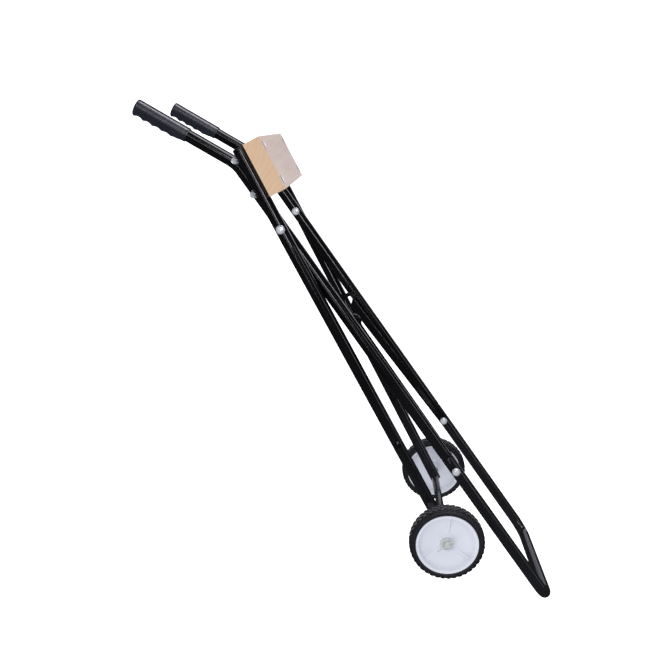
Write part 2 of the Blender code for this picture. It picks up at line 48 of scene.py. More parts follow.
TUBE = 0.0125
WALL = 0.0015
GAP = 0.0003
FRAME_SPACING = 0.0015
SIDE_Y = 0.1675
HANDLE_BEND_AT = 0.155
HANDLE_BEND = radians(25.0)
HANDLE_BEND_RADIUS = 0.075
HANDLE_LENGTH = 0.228
FOOT_BOLT_AT = 0.632
MOUTH_AT = FOOT_BOLT_AT - 0.034
FOOT_BAR_AT = FOOT_BOLT_AT + 0.366
FOOT_BEND_RADIUS = 0.040
NECK = TUBE - WALL - GAP
NECK_END_AT = FOOT_BOLT_AT + 0.022
SHOULDER = 0.006

GRIP_LENGTH = 0.117
GRIP_RADIUS = 0.0147
GRIP_END_WALL = 0.004
RIDGE_FIRST_AT = 0.005
RIDGE_PITCH = 0.0205
RIDGE_HEIGHTS = (0.0054, 0.0052, 0.0049, 0.0045, 0.0040)
RIDGE_FADE = 0.012
RIDGE_END_GAP = 0.006
KEEL = 0.0021

LEG_Y = SIDE_Y + 2 * TUBE + FRAME_SPACING + 2 * GAP
LEG_TOP_AT = -0.179
CRANK_AT = 0.040
CRANK_RADIUS = 0.15
AXLE_AT = 0.751
AXLE_LEG_Y = 0.147
LEG_END_AT = 0.757
PLUG_FLANGE = 0.0022
PLUG_DEPTH = 0.008
LATCH_AT = 0.517
LATCH_RADIUS = 0.0055
LATCH_HEAD_RADIUS = 0.0075
LATCH_HEAD_GAP = 0.0009
LATCH_TAIL = 0.004
CLIP_RADIUS = 0.0095
CLIP_THICKNESS = 0.003

BLOCK_HEIGHT = 0.113
BLOCK_THICKNESS = 0.036
BLOCK_HALF_LENGTH = 0.210
BLOCK_BOLTS_AT = (-0.160, -0.085)

WHEEL_RADIUS = 0.081
WHEEL_WIDTH = 0.036
WHEEL_Y = 0.203
HUB_RADIUS = 0.0666
HUB_DISH = 0.009
BOSS_RADIUS = 0.017
BUSH_RADIUS = 0.009
AXLE_TUBE = 0.0088
AXLE_ROD = 0.006
AXLE_CLEARANCE = 0.0004
INNER_WASHER_RADIUS = 0.011
OUTER_WASHER_RADIUS = 0.0145
WASHER_HEIGHT = 0.0016
AXLE_TUBE_END = WHEEL_Y - WHEEL_WIDTH / 2 - WASHER_HEIGHT - 2 * GAP
BOSS_FACE_Y = WHEEL_Y + WHEEL_WIDTH / 2 - HUB_DISH
ROD_BEYOND_WASHER = 0.0072
ROD_END = BOSS_FACE_Y + WASHER_HEIGHT + ROD_BEYOND_WASHER
PIN_RADIUS = 0.0013
PIN_BELOW_END = 0.0032
PIN_ANGLE = radians(-77)
PIN_TIP = 0.0275
PIN_EYE_AT = -0.0092
# The pin's open eye: distances along the pin and aside from it.
PIN_EYE = ((PIN_EYE_AT, 0), (-0.0106, 0.0009), (-0.0120, 0.0019), (-0.0134, 0.0024), (-0.0147, 0.0020),
           (-0.0155, 0.0011), (-0.0158, 0), (-0.0155, -0.0011), (-0.0147, -0.0020), (-0.0134, -0.0025),
           (-0.0122, -0.0024))

BOLT = 0.004
BOLT_BEYOND_NUT = 0.002
BLOCK_BOLT_BEYOND_NUT = 0.003
HEAD_RADIUS = 0.0090
NUT_HEIGHT = 0.0065
WASHER_RADIUS = 0.0085
PIVOT_SPACER_RADIUS = 0.0105
BRACE_SPACER_RADIUS = 0.0075

BRACE_LENGTH = 0.386
BRACE_WIDTH = 0.020
BRACE_THICKNESS = 0.003
BRACE_FACE_Y = 0.1486
BRACE_REST_ANGLES = {"right": radians(-0.6), "left": radians(2.2)}
HOOK_RADIUS = 0.016
NOTCH_WIDTH = 0.0128
MOUTH_ANGLE = radians(102)

SIDES = (("right", -1), ("left", 1))

# ---------------------------------------------------------------- sizes of what only this model has

WELD = 0.000002
PATH_STEP = 0.03
TUBE_SIDES = 40
# The side tube's shoulder: distances along it and shares of its radius.
SHOULDER_PROFILE = ((0.0012, 0.985), (0.0030, 0.945), (0.0046, 0.890), (0.0057, NECK / TUBE))

GRIP_BODY_SHARE = 0.985
# Distances from the grip's outer end, then back from its inner end, with shares of its radius.
GRIP_NOSE = ((0.0, 0.0), (0.0, 0.55), (0.0002, 0.80), (0.0008, 0.91), (0.0018, 0.97), (0.0032, 1.0))
GRIP_COLLAR = ((0.0032, 1.035), (0.0018, 1.045), (0.0007, 1.02), (0.0, 0.985))
GRIP_COLLAR_LENGTH = 0.0040
GRIP_RECESS = 0.004
GRIP_STATIONS = 110
KEEL_SHARPNESS = 2.2
RIDGE_ROUNDNESS = 0.85

EDGE = 0.0003
# Heights of a bolt head's rim and dome, as shares of its radius; the block's heads are flatter.
HEAD_RIM_SHARE = 0.20
HEAD_DOME_SHARE = 0.28
FLAT_HEAD_SHARE = 0.5
THREAD_LENGTH = 0.012
THREAD_PITCH = 0.00125
THREAD_DEPTH = 0.00055
NUT_ACROSS = 0.0130
NUT_FLANGE = 0.0090
PLUG_DOME = 0.0011
PLUG_EDGE = 0.0004
BLOCK_EDGE = 0.0011
BRACE_EDGE = 0.0005
ROD_EDGE = 0.0008
CUT_REACH = 0.01

TYRE_STEPS = 144
TYRE_DROP = 0.0018
TYRE_ROUNDING = 0.0046
# The tyre's side from the seat out to the tread: radius, and distance inwards from the wheel's face.
SEAT = HUB_RADIUS + GAP
TYRE_SIDE = ((SEAT, 0.0024), (SEAT + 0.0008, 0.0012), (SEAT + 0.0022, 0.0004), (SEAT + 0.0045, 0.0),
             (0.0738, 0.0003), (0.0757, 0.0010))
TREAD_COUNT = 38
TREAD_SKEW = 0.42
TREAD_TAPER = 0.72
TREAD_SUNK = 0.0004
# Rows of tread blocks: place across the tyre, long side, short side and height.
TREAD_ROWS = ((-0.0143, 0.0086, 0.0036, 0.0020), (-0.0086, 0.0068, 0.0036, 0.0022),
              (-0.0029, 0.0068, 0.0036, 0.0022), (0.0029, 0.0068, 0.0036, 0.0022),
              (0.0086, 0.0068, 0.0036, 0.0022), (0.0143, 0.0086, 0.0036, 0.0020))
SKEWED_WITHIN = 0.012

# The hub's outer face: heights over its middle plane, and the radii between which they change.
HUB_STEPS = 180
DISH_HEIGHT = 0.0058
DISH_RISE = 0.0034
DISH_SPAN = (0.022, 0.056)
RIM_SPAN = (0.0575, 0.0618)
RIM_BELOW_FACE = 0.0010
RIM_FLAT_FROM = 0.0645
RIM_EDGE = 0.0006
BOSS_SPAN = (BOSS_RADIUS + 0.0030, BOSS_RADIUS)
RIB_ANGLES = (radians(148), radians(-90), radians(29))
RIB_HEIGHT = 0.0006
RIB_RISE = 0.0042
RIB_RISE_SPAN = (0.022, 0.054)
RIB_INNER_SPAN = (0.0215, 0.0255)
RIB_OUTER_SPAN = (0.0606, 0.0590)
# Distances from a rib's middle line between which it falls away to the disc.
RIB_SIDE_SPAN = (0.0005, 0.0036)
# Mesh lines on each side of a rib's middle line, and their spacing at one radius.
RIB_LINES = 10
RIB_LINE_STEP = 0.0004
RIB_LINE_RADIUS = 0.045

# ---------------------------------------------------------------- frames of the joints at rest

joints = {joint["name"]: joint for joint in frame["joints"]}
pivot = Vector(joints["leg_fold"]["pos_m"])
foot = Vector(joints["right_brace_swing"]["pos_m"])
axle = Vector(joints["right_wheel_spin"]["pos_m"])


def frame_at(origin, towards):
    """Matrix with +X from origin towards a point straight along the cart, and +Y to the left."""
    along = Vector((towards.x - origin.x, 0, towards.z - origin.z)).normalized()
    across = Vector((0, 1, 0))
    axes = Matrix((along, across, along.cross(across))).transposed()
    return Matrix.Translation(origin) @ axes.to_4x4()


MAIN = frame_at(pivot, foot)
LEGS = frame_at(pivot, axle)


def turn(x, y):
    """Matrix that turns by angle x about X and then by y about Y."""
    return Euler((x, y, 0)).to_matrix().to_4x4()


def outward(side):
    """Turn that makes local +Z face away from the cart's middle."""
    return turn(-side * pi / 2, 0)


def shift(x, y, z):
    return Matrix.Translation((x, y, z))


def brace_frame(label):
    return MAIN @ shift(FOOT_BOLT_AT, 0, 0) @ Matrix.Rotation(pi - BRACE_REST_ANGLES[label], 4, "Y")


# ---------------------------------------------------------------- node materials

class Build:
    """One Principled material and short calls for the nodes in front of it."""

    def __init__(self, name, **values):
        self.material = bpy.data.materials.new(name)
        self.material.use_nodes = True
        self.nodes, self.links = self.material.node_tree.nodes, self.material.node_tree.links
        self.shader = self.nodes["Principled BSDF"]
        for socket, value in values.items():
            self.shader.inputs[socket.replace("_", " ")].default_value = value
        self.coords = self.nodes.new("ShaderNodeTexCoord").outputs["Object"]

    def mapped(self, scale=(1, 1, 1), shifted=(0, 0, 0)):
        node = self.nodes.new("ShaderNodeMapping")
        node.inputs["Scale"].default_value = scale
        node.inputs["Location"].default_value = shifted
        self.links.new(self.coords, node.inputs["Vector"])
        return node.outputs["Vector"]

    def axes(self, vector=None):
        """X, Y and Z of a vector, by default of the object's coordinates."""
        node = self.nodes.new("ShaderNodeSeparateXYZ")
        self.links.new(vector or self.coords, node.inputs["Vector"])
        return node.outputs

    def noise(self, scale, detail=2.0, rough=0.5, vector=None, distortion=0.0):
        node = self.nodes.new("ShaderNodeTexNoise")
        node.inputs["Scale"].default_value = scale
        node.inputs["Detail"].default_value = detail
        node.inputs["Roughness"].default_value = rough
        node.inputs["Distortion"].default_value = distortion
        self.links.new(vector or self.coords, node.inputs["Vector"])
        return node.outputs["Fac"]

    def ramp(self, factor, stops):
        """Colour ramp from (position, colour or grey) stops."""
        node = self.nodes.new("ShaderNodeValToRGB")
        ramp = node.color_ramp
        while len(ramp.elements) < len(stops):
            ramp.elements.new(0.5)
        for element, (position, colour) in zip(ramp.elements, stops):
            element.position = position
            grey = not hasattr(colour, "__len__")
            element.color = (colour, colour, colour, 1) if grey else (*colour, 1)
        self.links.new(factor, node.inputs["Fac"])
        return node.outputs["Color"]

    def mix(self, factor, first, second):
        node = self.nodes.new("ShaderNodeMix")
        node.data_type = "RGBA"
        for index, value in ((0, factor), (6, first), (7, second)):
            if hasattr(value, "links"):
                self.links.new(value, node.inputs[index])
            elif hasattr(value, "__len__"):
                node.inputs[index].default_value = (*value, 1)
            else:
                node.inputs[index].default_value = value
        return node.outputs[2]

    def maths(self, operation, first, second=0.0):
        node = self.nodes.new("ShaderNodeMath")
        node.operation = operation
        for socket, value in zip(node.inputs, (first, second)):
            if hasattr(value, "links"):
                self.links.new(value, socket)
            else:
                socket.default_value = value
        return node.outputs["Value"]

    def radius(self):
        """Distance from the object's Z axis."""
        at = self.axes()
        squares = [self.maths("MULTIPLY", at[axis], at[axis]) for axis in ("X", "Y")]
        return self.maths("SQRT", self.maths("ADD", *squares))

    def bump(self, height, strength, distance):
        node = self.nodes.new("ShaderNodeBump")
        node.inputs["Strength"].default_value = strength
        node.inputs["Distance"].default_value = distance
        self.links.new(height, node.inputs["Height"])
        self.links.new(node.outputs["Normal"], self.shader.inputs["Normal"])

    def set(self, socket, source):
        self.links.new(source, self.shader.inputs[socket])


def paint_material():
    """Gloss black powder coat, near black with a faint orange peel and patchy tone, and a painted sheen that
    makes it greyer towards the foot.
    """
    b = Build("gloss_black_paint", IOR=1.5)
    dust = b.noise(9, detail=5, rough=0.6)
    plain_paint = b.ramp(dust, [(0.35, (0.0024, 0.0025, 0.0029)), (0.75, (0.0042, 0.0043, 0.0049))])
    foot_sheen = b.ramp(dust, [(0.35, (0.0084, 0.0088, 0.0106)), (0.75, (0.0112, 0.0117, 0.0140))])
    # Painted sheen: the base colour turns greyer and bluer along X towards the foot, standing in for a broad
    # reflection on the lower tubes.
    b.set("Base Color", b.mix(b.ramp(b.axes()["X"], [(0.38, 0.0), (0.74, 1.0)]), plain_paint, foot_sheen))
    b.set("Roughness", b.ramp(b.noise(26, detail=4), [(0.3, 0.13), (0.75, 0.16)]))
    b.bump(b.noise(110, detail=1), 0.02, 0.00015)
    return b.material


def grip_material():
    """Soft dark blue-grey moulded rubber with a fine grain and darker patches."""
    b = Build("grip_rubber_soft", IOR=1.5, Specular_IOR_Level=1.0)
    patches = b.noise(34, detail=4, rough=0.6)
    b.set("Base Color", b.ramp(patches, [(0.3, (0.0075, 0.0095, 0.0190)), (0.75, (0.0115, 0.0145, 0.0280))]))
    b.set("Roughness", b.ramp(b.noise(60, detail=3), [(0.3, 0.31), (0.8, 0.35)]))
    b.bump(b.noise(1500, detail=2), 0.10, 0.00006)
    return b.material


def wood_material():
    """Planed softwood: straight grain along Y on the faces, rings on the two ends."""
    b = Build("planed_wood", IOR=1.45)
    normal = b.nodes.new("ShaderNodeTexCoord").outputs["Normal"]
    end_face = b.ramp(b.maths("ABSOLUTE", b.axes(normal)["Y"]), [(0.55, 0.0), (0.80, 1.0)])

    grain = b.noise(34, detail=6, rough=0.62, vector=b.mapped((1.0, 0.055, 1.0)), distortion=0.5)
    fine = b.noise(210, detail=4, rough=0.6, vector=b.mapped((1.0, 0.03, 1.0)))
    broad = b.noise(7, detail=2, vector=b.mapped((1.0, 0.35, 1.0)))
    face = b.ramp(grain, [(0.30, (0.515, 0.398, 0.348)), (0.52, (0.570, 0.457, 0.409)),
                          (0.75, (0.616, 0.511, 0.462))])
    face = b.mix(b.ramp(fine, [(0.35, 0.0), (0.70, 0.22)]), face, (0.497, 0.367, 0.304))
    face = b.mix(b.ramp(broad, [(0.35, 0.0), (0.75, 0.35)]), face, (0.644, 0.543, 0.493))

    rings = b.nodes.new("ShaderNodeTexWave")
    rings.wave_type = "RINGS"
    rings.rings_direction = "Y"
    rings.inputs["Scale"].default_value = 17
    rings.inputs["Distortion"].default_value = 5.0
    rings.inputs["Detail"].default_value = 2
    rings.inputs["Detail Scale"].default_value = 0.6
    b.links.new(b.mapped(shifted=(0.10, 0, 0.075)), rings.inputs["Vector"])
    pores = b.noise(520, detail=3, rough=0.7, vector=b.mapped((1.0, 0.02, 1.0)))
    end = b.ramp(rings.outputs["Fac"], [(0.1, (0.602, 0.404, 0.249)), (0.6, (0.627, 0.430, 0.274)),
                                        (0.95, (0.581, 0.392, 0.253))])
    end = b.mix(b.ramp(pores, [(0.35, 0.0), (0.75, 0.30)]), end, (0.541, 0.364, 0.232))
    end = b.mix(b.ramp(b.noise(22, detail=3), [(0.4, 0.0), (0.8, 0.4)]), end, (0.673, 0.514, 0.389))

    b.set("Base Color", b.mix(end_face, face, end))
    b.set("Roughness", b.ramp(fine, [(0.3, 0.52), (0.8, 0.68)]))
    relief = b.maths("ADD", b.maths("MULTIPLY", fine, 0.6), b.maths("MULTIPLY", grain, 0.8))
    b.bump(relief, 0.22, 0.0003)
    return b.material


def zinc_material():
    """Bright zinc plate with cloudy crystals and tumbling marks, and painted shade that darkens it towards
    the rim of a head, nut or washer.
    """
    b = Build("bright_zinc", Metallic=0.42, IOR=1.5)
    cloud = b.noise(260, detail=4, rough=0.6)
    plate = b.ramp(cloud, [(0.3, (0.74, 0.78, 0.84)), (0.7, (0.97, 0.98, 1.00))])
    # Painted shade: darker and bluer towards the rim, standing in for the dark reflections at the edge of a
    # domed head.
    rim = b.ramp(b.radius(), [(0.0040, 0.0), (0.0088, 0.85)])
    b.set("Base Color", b.mix(rim, plate, (0.28, 0.32, 0.40)))
    b.set("Roughness", b.ramp(b.noise(480, detail=3), [(0.3, 0.14), (0.8, 0.26)]))
    b.bump(b.noise(900, detail=2), 0.10, 0.00008)
    return b.material


def dull_plate_material():
    """Dull grey-white plate of the outer washer, the axle rod and the pin."""
    b = Build("dull_plated_cap", Metallic=0.35, IOR=1.5)
    cloud = b.noise(330, detail=4)
    b.set("Base Color", b.ramp(cloud, [(0.3, (0.60, 0.62, 0.63)), (0.7, (0.76, 0.78, 0.78))]))
    b.set("Roughness", b.ramp(b.noise(600, detail=2), [(0.3, 0.35), (0.8, 0.5)]))
    b.bump(b.noise(1100, detail=2), 0.1, 0.00008)
    return b.material


def dark_plastic_material():
    """Matt black moulded plastic of the plugs, spacers and bushes."""
    b = Build("black_moulded_plastic", IOR=1.46)
    tone = b.noise(40, detail=3)
    b.set("Base Color", b.ramp(tone, [(0.3, (0.007, 0.007, 0.008)), (0.8, (0.014, 0.014, 0.016))]))
    b.set("Roughness", b.ramp(b.noise(120, detail=2), [(0.3, 0.38), (0.8, 0.5)]))
    b.bump(b.noise(1400, detail=1), 0.18, 0.00005)
    return b.material


def hub_material():
    """White moulded plastic with a faint lavender cast and scuffs."""
    b = Build("white_hub_plastic", IOR=1.5)
    tone = b.noise(16, detail=3, rough=0.5)
    base = b.ramp(tone, [(0.3, (0.630, 0.652, 0.739)), (0.75, (0.681, 0.704, 0.787))])
    scuff = b.ramp(b.noise(150, detail=6, rough=0.7), [(0.62, 0.0), (0.80, 0.35)])
    b.set("Base Color", b.mix(scuff, base, (0.564, 0.576, 0.653)))
    b.set("Roughness", b.ramp(b.noise(70, detail=3), [(0.3, 0.30), (0.8, 0.42)]))
    b.bump(b.noise(700, detail=2), 0.06, 0.0001)
    return b.material


def tyre_material():
    """Solid rubber: dark sides, dustier and greyer where the tread's blocks stand out."""
    b = Build("tyre_rubber_dusty", IOR=1.5)
    # From 0, 4 mm below the tread's crown, to 1 on it.
    height = b.maths("DIVIDE", b.maths("SUBTRACT", b.radius(), WHEEL_RADIUS - 0.0040), 0.0040)
    dust = b.maths("MULTIPLY", b.ramp(height, [(0.55, 0.0), (0.85, 1.0)]), b.noise(240, detail=4, rough=0.7))
    patches = b.noise(60, detail=4, rough=0.6)
    base = b.ramp(patches, [(0.3, (0.0062, 0.0075, 0.0122)), (0.75, (0.0100, 0.0116, 0.0174))])
    b.set("Base Color", b.mix(dust, base, (0.175, 0.178, 0.190)))
    b.set("Roughness", b.ramp(b.noise(200, detail=3), [(0.3, 0.50), (0.8, 0.68)]))
    b.bump(b.noise(1200, detail=3), 0.25, 0.0001)
    return b.material


PAINT = paint_material()
GRIP = grip_material()
WOOD = wood_material()
ZINC = zinc_material()
DULL_PLATE = dull_plate_material()
PLASTIC = dark_plastic_material()
HUB = hub_material()
TYRE = tyre_material()

# ---------------------------------------------------------------- mesh makers


def mesh_of(name, vertices, faces):
    mesh = bpy.data.meshes.new(name)
    mesh.from_pydata([tuple(vertex) for vertex in vertices], [], faces)
    work = bmesh.new()
    work.from_mesh(mesh)
    bmesh.ops.remove_doubles(work, verts=work.verts, dist=WELD)
    bmesh.ops.recalc_face_normals(work, faces=work.faces)
    work.to_mesh(mesh)
    work.free()
    return mesh


def circle(radius, height, steps):
    """Points round Z at one height."""
    return [(radius * cos(2 * pi * k / steps), radius * sin(2 * pi * k / steps), height)
            for k in range(steps)]


def box_mesh(name, size, centre=(0, 0, 0), edge=0.0):
    """Box, with its edges rounded if edge is given."""
    work = bmesh.new()
    bmesh.ops.create_cube(work, size=1)
    bmesh.ops.scale(work, vec=size, verts=work.verts)
    bmesh.ops.translate(work, vec=centre, verts=work.verts)
    if edge:
        bmesh.ops.bevel(work, geom=list(work.edges), offset=edge, segments=3, profile=0.5, affect="EDGES")
    mesh = bpy.data.meshes.new(name)
    work.to_mesh(mesh)
    work.free()
    return mesh


def grid(rows, loop_rows=False):
    """Vertices and faces of a sheet of closed rings, its two ends capped unless the rows loop too."""
    count = len(rows[0])
    vertices = [point for row in rows for point in row]
    faces = []
    last = len(rows) if loop_rows else len(rows) - 1
    for i in range(last):
        j = (i + 1) % len(rows)
        for k in range(count):
            m = (k + 1) % count
            faces.append((i * count + k, i * count + m, j * count + m, j * count + k))
    if not loop_rows:
        faces.append(tuple(reversed(range(count))))
        faces.append(tuple(range((len(rows) - 1) * count, len(rows) * count)))
    return vertices, faces


def filleted(points, radius, steps=3):
    """A closed 2D outline with its corners rounded."""
    result = []
    for index, (x, y) in enumerate(points):
        px, py = points[index - 1]
        nx, ny = points[(index + 1) % len(points)]
        before = hypot(px - x, py - y)
        after = hypot(nx - x, ny - y)
        reach = min(radius, 0.45 * before, 0.45 * after)
        start = (x + (px - x) * reach / before, y + (py - y) * reach / before)
        end = (x + (nx - x) * reach / after, y + (ny - y) * reach / after)
        for step in range(steps + 1):
            t = step / steps
            a, b, c = (1 - t) ** 2, 2 * t * (1 - t), t * t
            result.append((a * start[0] + b * x + c * end[0], a * start[1] + b * y + c * end[1]))
    return result


def turned(name, profile, steps=48, ring=False):
    """Turn (radius, height) points round Z. A ring's profile is closed, any other one ends on the axis."""
    rows = [circle(max(radius, 0.0), height, steps) for radius, height in profile]
    return mesh_of(name, *grid(rows, loop_rows=ring))


def ring_mesh(name, inner, outer, low, high, soft=EDGE, steps=40):
    """Washer or sleeve round Z with rounded edges."""
    profile = filleted([(inner, low), (outer, low), (outer, high), (inner, high)], soft)
    return turned(name, profile, steps, ring=True)


def arc_path(corners, radii, steps=14):
    """Corner points with each inner corner replaced by an arc."""
    points = [corners[0]]
    for before, corner, after, radius in zip(corners, corners[1:], corners[2:], radii):
        into = (corner - before).normalized()
        out = (after - corner).normalized()
        whole = into.angle(out)
        start = corner - into * (radius * tan(whole / 2))
        inward = (out - into * into.dot(out)).normalized()
        for step in range(steps + 1):
            angle = whole * step / steps
            points.append(start + into * radius * sin(angle) + inward * radius * (1 - cos(angle)))
    points.append(corners[-1])
    return points


def densified(points):
    """The path with points added on its long straights."""
    result = []
    for a, b in zip(points, points[1:]):
        pieces = max(1, round((b - a).length / PATH_STEP))
        result += [a.lerp(b, k / pieces) for k in range(pieces)]
    return result + [points[-1]]


def tube_mesh(name, points, radius=TUBE, wall=WALL, lip=0.0005, scales=None):
    """Open tube swept along points, with a rounded lip at both ends; scales are shares of radius."""
    tangents = []
    last = len(points) - 1
    for index in range(last + 1):
        tangents.append((points[min(index + 1, last)] - points[max(index - 1, 0)]).normalized())
    side = tangents[0].cross(Vector((0, 1, 0)))
    if side.length < 0.5:
        side = tangents[0].cross(Vector((0, 0, 1)))
    side.normalize()
    frames = []
    for tangent in tangents:
        side = (side - tangent * side.dot(tangent)).normalized()
        frames.append((side.copy(), tangent.cross(side)))

    def ring_at(index, size, along=0.0):
        a, b = frames[index]
        centre = points[index] + tangents[index] * along
        return [centre + (a * cos(2 * pi * k / TUBE_SIDES) + b * sin(2 * pi * k / TUBE_SIDES)) * size
                for k in range(TUBE_SIDES)]

    outer = [radius * scale for scale in scales or [1.0] * len(points)]
    bore = [size - wall for size in outer]
    turn_in = 0.3 * lip
    rows = [ring_at(0, outer[0] - lip), ring_at(0, outer[0] - turn_in, turn_in), ring_at(0, outer[0], lip)]
    rows += [ring_at(index, outer[index]) for index in range(1, last)]
    rows += [ring_at(last, outer[last], -lip), ring_at(last, outer[last] - turn_in, -turn_in),
             ring_at(last, outer[last] - lip)]
    rows += [ring_at(index, bore[index]) for index in range(last, -1, -1)]
    return mesh_of(name, *grid(rows, loop_rows=True))


def dome_profile(radius, height, low, steps=7):
    """From the rim at low up to the crown on the axis, as (radius, height) points."""
    sphere = (radius ** 2 + height ** 2) / (2 * height)
    full = asin(min(1.0, radius / sphere))
    return [(sphere * sin(full * (1 - k / steps)),
             low + sphere * (cos(full * (1 - k / steps)) - cos(full))) for k in range(steps + 1)]


def bolt_mesh(name, grip, tail, head=HEAD_RADIUS, shank=BOLT, tall=1.0):
    """Dome-headed bolt, its head above z = 0, with a rolled thread at its tail; tall scales the head."""
    rim = HEAD_RIM_SHARE * head * tall
    crown = HEAD_DOME_SHARE * head * tall
    profile = [(head - EDGE, 0.0), (head, EDGE), (head, rim * 0.6)]
    profile += [(r * (head - 0.0004) / head, z) for r, z in dome_profile(head, crown, rim * 0.9)]
    profile = list(reversed(profile))
    profile[0] = (0.0, profile[0][1])
    end = -(grip + tail)
    z = end + min(THREAD_LENGTH, grip + tail - 0.001)
    profile += [(shank, 0.0), (shank, z)]
    while z > end + 0.0008:
        profile += [(shank - THREAD_DEPTH, z - THREAD_PITCH / 2), (shank, z - THREAD_PITCH)]
        z -= THREAD_PITCH
    profile += [(shank - 0.0008, end), (0.0, end)]
    profile = [(r, max(h, end)) for r, h in profile]
    return turned(name, profile, 36)


def nut_mesh(name):
    """Flanged hexagon nut standing on z = 0, its corners chamfered."""
    steps = 48
    top = NUT_HEIGHT
    bore = BOLT + GAP
    apothem = NUT_ACROSS / 2
    tip = apothem / cos(pi / 6)

    def hexagon(limit, height):
        row = []
        for k in range(steps):
            angle = 2 * pi * k / steps
            off = (angle + pi / 6) % (pi / 3) - pi / 6
            size = min(apothem / cos(off), limit)
            row.append((size * cos(angle), size * sin(angle), height))
        return row

    flange = [(bore, 0.0), (NUT_FLANGE - EDGE, 0.0), (NUT_FLANGE, EDGE), (NUT_FLANGE, 0.0010),
              (tip + 0.0004, 0.0017)]
    flats = [(tip, 0.0021), (tip, top - 0.0009), (apothem + 0.0004, top - 0.0004), (apothem - 0.0004, top)]
    mouth = [(bore + 0.0005, top), (bore, top - 0.0005)]
    rows = [circle(*at, steps) for at in flange] + [hexagon(*at) for at in flats]
    rows += [circle(*at, steps) for at in mouth]
    return mesh_of(name, *grid(rows, loop_rows=True))


# ---------------------------------------------------------------- pieces

def fine(node, mesh, matrix, body, slot, material, sharp=32):
    """Add a piece that rides on its body and stands for its CAD node."""
    item = bpy.data.objects.new("fine_" + node, mesh)
    SCENE.collection.objects.link(item)
    mesh.materials.append(material)
    mesh.shade_smooth()
    mesh.set_sharp_from_angle(angle=radians(sharp))
    item.matrix_world = matrix
    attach(item, body)
    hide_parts(node)


def handle_point(along, y):
    """Point on the handle's centre line, at a distance from its bend."""
    return Vector((-HANDLE_BEND_AT - along * cos(HANDLE_BEND), y, -along * sin(HANDLE_BEND)))


def side_tube(label, side):
    """Side tube with its bent handle, and its neck in the foot loop's mouth."""
    y = side * SIDE_Y
    end = handle_point(HANDLE_LENGTH - GRIP_END_WALL - GAP, y)
    mouth = MOUTH_AT - SHOULDER
    bent = densified(arc_path([end, handle_point(0, y), Vector((mouth, y, 0))], [HANDLE_BEND_RADIUS]))
    points = bent + [Vector((mouth + along, y, 0)) for along, _ in SHOULDER_PROFILE]
    points += [Vector((at, y, 0)) for at in (MOUTH_AT + 0.004, FOOT_BOLT_AT, NECK_END_AT)]
    scales = [1.0] * len(bent) + [scale for _, scale in SHOULDER_PROFILE] + [NECK / TUBE] * 3
    mesh = tube_mesh("side_tube", points, scales=scales)
    fine("side_tube_" + label, mesh, MAIN, "main_frame", "black_paint", PAINT)


def foot_loop():
    ends = [(MOUTH_AT, -1), (FOOT_BAR_AT, -1), (FOOT_BAR_AT, 1), (MOUTH_AT, 1)]
    corners = [Vector((at, side * SIDE_Y, 0)) for at, side in ends]
    points = densified(arc_path(corners, [FOOT_BEND_RADIUS] * 2, steps=20))
    mesh = tube_mesh("foot_loop", points, lip=0.0008)
    fine("foot_loop", mesh, MAIN, "main_frame", "black_paint", PAINT)


def ridge_at(along):
    """Depth of the finger ridges below the grip at a distance from its outer end."""
    nearest = min(max(round((along - RIDGE_FIRST_AT) / RIDGE_PITCH), 0), len(RIDGE_HEIGHTS) - 1)
    away = min(abs(along - RIDGE_FIRST_AT - nearest * RIDGE_PITCH) / (RIDGE_PITCH / 2), 1.0)
    height = RIDGE_HEIGHTS[nearest]
    fade = min(1.0, max(0.0, (GRIP_LENGTH - along - RIDGE_END_GAP) / RIDGE_FADE))
    return (KEEL + (height - KEEL) * (1.0 - sin(away * pi / 2)) ** RIDGE_ROUNDNESS) * fade


def grip_piece(label, side):
    """Grip along its own -Z, with a keel and finger ridges on its lower side, -X."""
    steps = 64
    nose_end = GRIP_NOSE[-1][0]
    straight = GRIP_LENGTH - nose_end - GRIP_COLLAR_LENGTH
    stations = list(GRIP_NOSE)
    stations += [(nose_end + straight * k / GRIP_STATIONS, 1.0) for k in range(1, GRIP_STATIONS + 1)]
    stations += [(GRIP_LENGTH - back, scale) for back, scale in GRIP_COLLAR]
    rows = []
    for along, scale in stations:
        radius = min(GRIP_RADIUS * GRIP_BODY_SHARE * scale, GRIP_RADIUS)
        drop = ridge_at(along) * min(scale, 1.0)
        rows.append([(x - drop * max(0.0, -cos(2 * pi * k / steps)) ** KEEL_SHARPNESS, y, z)
                     for k, (x, y, z) in enumerate(circle(radius, -along, steps))])
    rows += [circle(TUBE + GAP, -depth, steps) for depth in (GRIP_LENGTH, GRIP_LENGTH - GRIP_RECESS)]
    top = Matrix.Translation(handle_point(HANDLE_LENGTH, side * SIDE_Y))
    where = MAIN @ top @ turn(0, -(pi / 2 + HANDLE_BEND))
    fine("grip_" + label, mesh_of("grip", *grid(rows)), where, "main_frame", "grip_rubber", GRIP, sharp=50)


def through_bolt(name, at, inner_y, outer_y, label, side):
    """Bolt and nut through the main frame; all the heads face the cart's right side."""
    head_y, nut_y = (outer_y, inner_y) if side < 0 else (inner_y, outer_y)
    bolt = bolt_mesh("bolt", outer_y - inner_y, NUT_HEIGHT + BOLT_BEYOND_NUT)
    for part, mesh, y, way in (("bolt", bolt, head_y, -1), ("nut", nut_mesh("nut"), nut_y, 1)):
        where = MAIN @ shift(at, side * y, 0) @ outward(way)
        fine(f"{name}_{part}_{label}", mesh, where, "main_frame", "zinc", ZINC)


